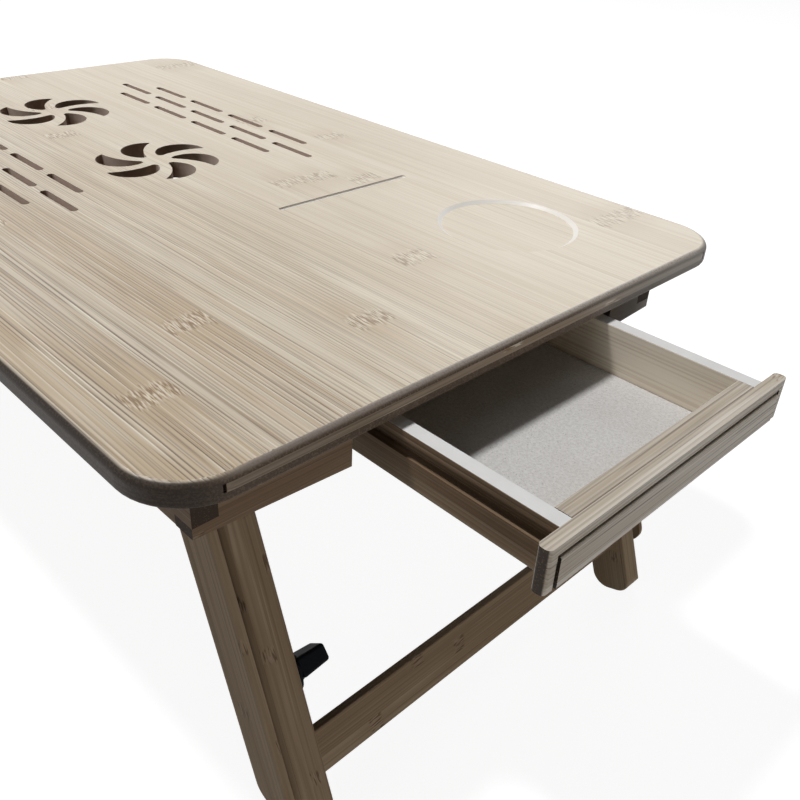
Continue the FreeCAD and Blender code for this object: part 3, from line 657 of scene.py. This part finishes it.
def floorFinish():
    f = Finish(bpy.data.materials.new("floorPaint"))

    def matt(glow, paint):
        # pale paint that keeps shadows, over a glow that keeps them light
        diffuse = f.node("ShaderNodeBsdfDiffuse", None, {"Color": paint})
        glowing = f.node("ShaderNodeEmission", None, {"Color": glow})
        return f.out(f.node("ShaderNodeAddShader", None, {0: f.out(diffuse), 1: f.out(glowing)}))

    surface = seenOrBounced(f, matt(room["floorGlow"], room["floorPaint"]),
                            matt((0, 0, 0), room["floorBounce"]))
    # clear from below, so that the underside can be looked at
    fromBelow = f.out(f.node("ShaderNodeNewGeometry"), "Backfacing")
    clear = f.out(f.node("ShaderNodeBsdfTransparent"))
    surface = f.mixShader(fromBelow, surface, clear)
    f.node("ShaderNodeOutputMaterial", None, {"Surface": surface})
    return f.owner


def buildFloor():
    half = room["floorSize"] / 2
    mesh = bpy.data.meshes.new("floor")
    mesh.from_pydata([(-half, -half, 0), (half, -half, 0), (half, half, 0), (-half, half, 0)],
                     [], [(0, 1, 2, 3)])
    mesh.materials.append(floorFinish())
    floor = bpy.data.objects.new("floor", mesh)
    bpy.context.scene.collection.objects.link(floor)


def buildSky():
    world = bpy.data.worlds.new("studio")
    bpy.context.scene.world = world
    f = Finish(world)

    def glow(strength):
        return f.out(f.node("ShaderNodeBackground", None,
                            {"Color": (1, 1, 1), "Strength": strength}))

    surface = seenOrBounced(f, glow(room["skySeen"]), glow(room["skyLight"]))
    f.node("ShaderNodeOutputWorld", None, {"Surface": surface})


lamps = {
    # watts, width of the disk, place; all are aimed at the board
    "lamp": (70.0, 0.40, (-0.74, -0.50, 2.98)),
    "window": (3.2, 1.1, (-0.5, 1.30, 1.10)),
    "fill": (9.5, 0.4, (1.9, -0.55, 0.10)),
    "side": (2.6, 0.8, (0.2, -1.65, 1.30)),
    "below": (5.0, 1.2, (0.1, 0.1, -1.4)),
}
lampAim = Vector((0.15, 0, boardHigh.z))


def buildLamps():
    for name, (power, width, place) in lamps.items():
        data = bpy.data.lights.new(name, "AREA")
        data.shape = "DISK"
        data.size = width
        data.energy = power
        lamp = bpy.data.objects.new(name, data)
        lamp.location = place
        lamp.rotation_euler = (Vector(place) - lampAim).to_track_quat("Z", "Y").to_euler()
        bpy.context.scene.collection.objects.link(lamp)


camera = {
    "lens": 39.34, "sensor": 36.0, "clipStart": 0.01,
    "place": (0.18916, -0.2679, 0.17103),    # from the drawer edge, middle and top of the board
    "turn": (1.9855, 0.8683, -0.4161),       # rotation vector from the room to the picture
}


def buildCamera():
    data = bpy.data.cameras.new("camera")
    data.lens = camera["lens"]
    data.sensor_width = camera["sensor"]
    data.clip_start = camera["clipStart"]
    made = bpy.data.objects.new("camera", data)
    turn = Vector(camera["turn"])
    toPicture = Matrix.Rotation(turn.length, 3, turn.normalized())
    flip = Matrix.Diagonal((1, -1, -1))
    place = Vector((boardHigh.x, 0, boardHigh.z)) + Vector(camera["place"])
    made.matrix_world = Matrix.Translation(place) @ (toPicture.transposed() @ flip).to_4x4()
    bpy.context.scene.collection.objects.link(made)
    bpy.context.scene.camera = made


buildFloor()
buildSky()
buildLamps()
buildCamera()
bpy.context.scene.view_settings.view_transform = "Standard"
print("room ready")
